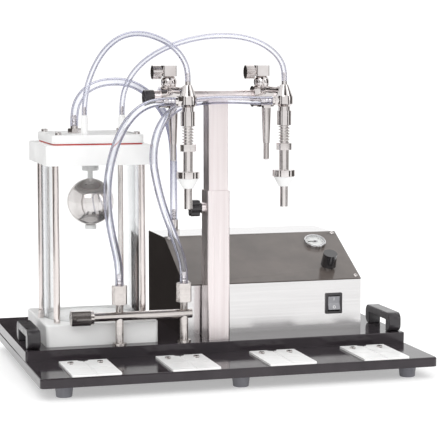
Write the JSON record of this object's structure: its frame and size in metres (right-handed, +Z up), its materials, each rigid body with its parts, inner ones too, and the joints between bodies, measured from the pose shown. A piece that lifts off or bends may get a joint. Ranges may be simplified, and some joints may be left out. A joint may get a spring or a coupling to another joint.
{
  "type": "liquid_filler",
  "caption": "Bench-top two-nozzle vacuum liquid filler with clear receiver tank, lift column, manifold, pump box and clear hoses",
  "frame": {"origin": "on the table under the middle of the base plate", "axes": "+X to the operator's right along the base plate, +Y to the back, +Z up"},
  "size_m": [0.6, 0.44, 0.5173],
  "materials": {
    "gloss_black": "gloss black enamel",
    "black_rubber": "matte moulded rubber",
    "black_plastic": "satin black moulding",
    "grey_plastic": "grey rocker moulding",
    "stainless": "brushed stainless steel",
    "polished_steel": "polished stainless steel",
    "spring_steel": "drawn spring wire",
    "white_plastic": "white machined plastic",
    "clear_tube": "clear acrylic tube",
    "red_silicone": "red silicone sheet",
    "brushed_sheet": "brushed stainless sheet",
    "taupe_panel": "dark taupe painted panel",
    "chrome": "chromed brass",
    "cast_alloy": "cast aluminium",
    "clear_hose": "clear flexible tubing"
  },
  "bodies": {
    "base": {"base_plate": "gloss_black", "deck_plate": "gloss_black", "rubber_feet": "black_rubber", "bottle_nest_1": "white_plastic", "bottle_nest_2": "white_plastic", "bottle_nest_3": "white_plastic", "bottle_nest_4": "white_plastic", "nest_screws": "stainless", "carry_handles": "black_plastic", "tank_base": "white_plastic", "tank_tube": "clear_tube", "tank_top_plate": "white_plastic", "tank_tie_rods": "stainless", "lid_gasket": "red_silicone", "tank_lid": "white_plastic", "lid_screws": "stainless", "vacuum_barb": "stainless", "return_connectors": "white_plastic", "float_guide": "white_plastic", "tank_drain_plug": "stainless", "manifold": "stainless", "hose_tails": "stainless", "column_sleeve": "stainless", "pump_box_cover": "brushed_sheet", "pump_box_floor": "brushed_sheet", "control_panel": "taupe_panel", "panel_screws": "stainless", "gauge_body": "chrome", "regulator_body": "stainless", "switch_frame": "black_plastic", "pump_casing": "cast_alloy", "power_inlet": "black_plastic", "box_hose_fitting": "stainless", "return_hose_left": "clear_hose", "return_hose_right": "clear_hose", "product_hose_left": "clear_hose", "product_hose_right": "clear_hose", "vacuum_hose": "clear_hose"},
    "head": {"head_post": "stainless", "nozzle_arm_left": "stainless", "nozzle_arm_right": "stainless", "nozzle_body_left": "polished_steel", "nozzle_body_right": "polished_steel", "nozzle_spring_left": "spring_steel", "nozzle_spring_right": "spring_steel"},
    "float": {"float_ball": "polished_steel"},
    "manifold_cap": {"manifold_cap": "stainless"},
    "column_knob": {"column_knob": "black_plastic"},
    "clamp_knob_left": {"clamp_knob_left": "stainless"},
    "clamp_knob_right": {"clamp_knob_right": "stainless"},
    "lever_left": {"valve_lever_left": "polished_steel"},
    "lever_right": {"valve_lever_right": "polished_steel"},
    "slide_left": {"nozzle_slide_left": "polished_steel", "nozzle_cone_left": "white_plastic"},
    "slide_right": {"nozzle_slide_right": "polished_steel", "nozzle_cone_right": "white_plastic"},
    "needle": {"gauge_needle": "black_plastic"},
    "regulator_knob": {"regulator_knob": "black_plastic"},
    "rocker": {"switch_rocker": "grey_plastic"},
    "rotor": {"pump_rotor": "cast_alloy"}
  },
  "joints": [
    {"name": "column_height", "type": "slide", "parent": "base", "child": "head", "axis": [0, 0, 1], "range_m": [-0.043, 0.06], "deforming": ["return_hose_left", "return_hose_right", "product_hose_left", "product_hose_right"]},
    {"name": "column_knob_turn", "type": "hinge", "parent": "base", "child": "column_knob", "pos_m": [-0.03, -0.057, 0.25], "axis": [1, 0, 0], "range_deg": [-180, 180]},
    {"name": "float_rise", "type": "slide", "parent": "base", "child": "float", "axis": [0, 0, 1], "range_m": [0, 0.012]},
    {"name": "manifold_cap_turn", "type": "hinge", "parent": "base", "child": "manifold_cap", "pos_m": [-0.21, -0.078, 0.092], "axis": [1, 0, 0], "range_deg": [0, 360]},
    {"name": "gauge_needle_turn", "type": "hinge", "parent": "base", "child": "needle", "pos_m": [0.201, 0.05586, 0.1783], "axis": [0, -0.4472, 0.8944], "range_deg": [-225, 45]},
    {"name": "regulator_turn", "type": "hinge", "parent": "base", "child": "regulator_knob", "pos_m": [0.201, -0.0118, 0.15487], "axis": [0, -0.4472, 0.8944], "range_deg": [-135, 135]},
    {"name": "switch_rock", "type": "hinge", "parent": "base", "child": "rocker", "pos_m": [0.201, -0.0325, 0.09], "axis": [1, 0, 0], "range_deg": [0, 14]},
    {"name": "pump_spin", "type": "hinge", "parent": "base", "child": "rotor", "pos_m": [0.1, 0.108, 0.106], "axis": [1, 0, 0], "continuous": true},
    {"name": "clamp_knob_left_turn", "type": "hinge", "parent": "head", "child": "clamp_knob_left", "pos_m": [-0.093, -0.057, 0.456], "axis": [1, 0, 0], "range_deg": [-180, 180]},
    {"name": "valve_lever_left_swing", "type": "hinge", "parent": "head", "child": "lever_left", "pos_m": [-0.073, -0.082, 0.411], "axis": [-1, 0, 0], "range_deg": [0, 35]},
    {"name": "nozzle_slide_left_lift", "type": "slide", "parent": "head", "child": "slide_left", "axis": [0, 0, 1], "range_m": [0, 0.015], "stiffness_N_per_m": 300, "springref_m": -0.012, "deforming": ["nozzle_spring_left"]},
    {"name": "clamp_knob_right_turn", "type": "hinge", "parent": "head", "child": "clamp_knob_right", "pos_m": [0.053, -0.057, 0.456], "axis": [1, 0, 0], "range_deg": [-180, 180]},
    {"name": "valve_lever_right_swing", "type": "hinge", "parent": "head", "child": "lever_right", "pos_m": [0.073, -0.082, 0.411], "axis": [-1, 0, 0], "range_deg": [0, 35]},
    {"name": "nozzle_slide_right_lift", "type": "slide", "parent": "head", "child": "slide_right", "axis": [0, 0, 1], "range_m": [0, 0.015], "stiffness_N_per_m": 300, "springref_m": -0.012, "deforming": ["nozzle_spring_right"]}
  ]
}
